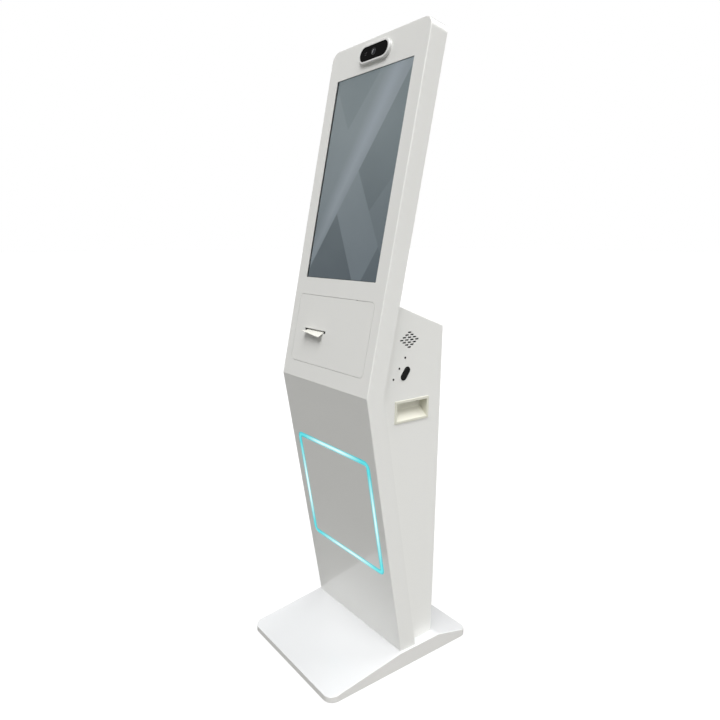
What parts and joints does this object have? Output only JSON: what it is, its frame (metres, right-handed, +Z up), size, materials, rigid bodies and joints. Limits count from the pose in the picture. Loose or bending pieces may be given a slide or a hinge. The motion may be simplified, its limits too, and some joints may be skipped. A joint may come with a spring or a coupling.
{
  "type": "touchscreen kiosk",
  "caption": "Floor-standing self-service kiosk: bent slab front with portrait touchscreen, camera, ticket printer door and light ring, on a wedge base with a rear service cabinet.",
  "frame": {"origin": "on the floor, under the middle of the base", "axes": "+Z up, the screen faces -Y, +X to the right of a person facing the screen"},
  "size_m": [0.392, 0.51, 1.6589],
  "materials": {
    "white_paint": "satin white powder coat",
    "gloss_front": "glossy white paint",
    "base_paint": "satin white powder coat",
    "bare_steel": "zinc plated",
    "bolt_steel": "zinc plated",
    "foot_rubber": "matte",
    "gasket_foam": "matte black foam",
    "screen_glass": "dark glossy glass",
    "lcd_metal": "satin",
    "circuit_board": "green solder mask",
    "camera_white": "glossy white",
    "camera_black": "glossy black",
    "black_plastic": "matte",
    "cream_plastic": "matte cream",
    "roller_rubber": "matte",
    "blade_steel": "ground",
    "motor_metal": "satin black",
    "paper_white": "thermal paper",
    "light_acrylic": "lit cyan diffuser",
    "electronics_grey": "textured dark grey",
    "speaker_black": "matte black",
    "cone_paper": "pressed paper cone",
    "magnet_grey": "ferrite",
    "key_chrome": "polished",
    "cable_black": "pvc",
    "switch_black": "gloss"
  },
  "bodies": {
    "kiosk": {"base_cover": "base_paint", "base_plate": "motor_metal", "base_feet": "foot_rubber", "base_spacers": "bare_steel", "base_bolts": "bolt_steel", "cabinet_floor": "bare_steel", "front_shell": "white_paint", "head_back_cover": "white_paint", "cover_rails": "bare_steel", "cover_screws": "bolt_steel", "screen_gasket": "gasket_foam", "touch_glass": "screen_glass", "lcd_panel": "lcd_metal", "screen_rails": "bare_steel", "display_board": "circuit_board", "camera_housing": "camera_white", "camera_window": "camera_black", "camera_module": "circuit_board", "door_pivots": "bare_steel", "door_magnets": "magnet_grey", "light_panel": "gloss_front", "light_diffuser": "light_acrylic", "light_tray": "bare_steel", "led_strip": "circuit_board", "cabinet_shell": "white_paint", "accessory_nuts": "bolt_steel", "port_plug": "black_plastic", "handle_right": "cream_plastic", "handle_left": "cream_plastic", "speakers": "speaker_black", "speaker_cones": "cone_paper", "rear_door_pivots": "bare_steel", "equipment_plate": "bare_steel", "computer": "electronics_grey", "power_supply": "electronics_grey", "light_driver": "electronics_grey", "mains_inlet": "black_plastic", "switch_body": "black_plastic", "mains_cable": "cable_black", "light_cable": "cable_black", "video_cable": "cable_black"},
    "printer_door": {"printer_door": "white_paint", "printer_frame": "bare_steel", "print_head": "motor_metal", "fixed_blade": "blade_steel", "feed_motor": "motor_metal", "printer_board": "circuit_board", "roll_holder": "black_plastic", "paper_web": "paper_white"},
    "paper_roll": {"paper_roll": "paper_white"},
    "platen_roller": {"platen_roller": "roller_rubber"},
    "ticket": {"ticket": "paper_white"},
    "cutter_blade": {"cutter_blade": "blade_steel"},
    "feed_button": {"feed_button": "cream_plastic"},
    "rear_door": {"rear_door": "white_paint", "lock_body": "key_chrome", "fan_frame": "black_plastic"},
    "lock_cam": {"lock_cam": "bolt_steel"},
    "fan_rotor": {"fan_rotor": "black_plastic"},
    "switch_rocker": {"switch_rocker": "switch_black"}
  },
  "joints": [
    {"name": "printer_door_hinge", "type": "hinge", "parent": "kiosk", "child": "printer_door", "pos_m": [0, -0.12744, 0.84085], "axis": [1, 0, 0], "range_deg": [0, 80]},
    {"name": "paper_roll_spin", "type": "hinge", "parent": "printer_door", "child": "paper_roll", "pos_m": [-0.067, -0.03642, 0.85208], "axis": [1, 0, 0], "range_deg": [0, 22.62]},
    {"name": "platen_spin", "type": "hinge", "parent": "printer_door", "child": "platen_roller", "pos_m": [-0.067, -0.08223, 0.92437], "axis": [1, 0, 0], "range_deg": [-1, 109.43]},
    {"name": "ticket_feed", "type": "slide", "parent": "printer_door", "child": "ticket", "axis": [0, -0.8942, -0.4478], "range_m": [-0.0001, 0.0152]},
    {"name": "cutter_stroke", "type": "slide", "parent": "printer_door", "child": "cutter_blade", "axis": [0, -0.4478, 0.8942], "range_m": [0, 0.004]},
    {"name": "feed_button_press", "type": "slide", "parent": "printer_door", "child": "feed_button", "axis": [0, -0.9803, 0.1977], "range_m": [0, 0.0015], "stiffness_N_per_m": 400},
    {"name": "rear_door_hinge", "type": "hinge", "parent": "kiosk", "child": "rear_door", "pos_m": [-0.13, 0.1234, 0.5275], "axis": [0, 0, 1], "range_deg": [0, 115]},
    {"name": "lock_turn", "type": "hinge", "parent": "rear_door", "child": "lock_cam", "pos_m": [0.122, 0.12, 0.52], "axis": [0, -1, 0], "range_deg": [0, 90]},
    {"name": "fan_spin", "type": "hinge", "parent": "rear_door", "child": "fan_rotor", "pos_m": [0, 0.115, 0.84], "axis": [0, 1, 0], "continuous": true},
    {"name": "power_rocker", "type": "hinge", "parent": "kiosk", "child": "switch_rocker", "pos_m": [-0.02, 0.1276, 0.098], "axis": [0, 0, -1], "range_deg": [0, 18]}
  ],
  "couplings": [
    {"joint": "platen_spin", "follows": "paper_roll_spin", "ratio": 4.75},
    {"joint": "ticket_feed", "follows": "paper_roll_spin", "m_per_rad": 0.038}
  ]
}
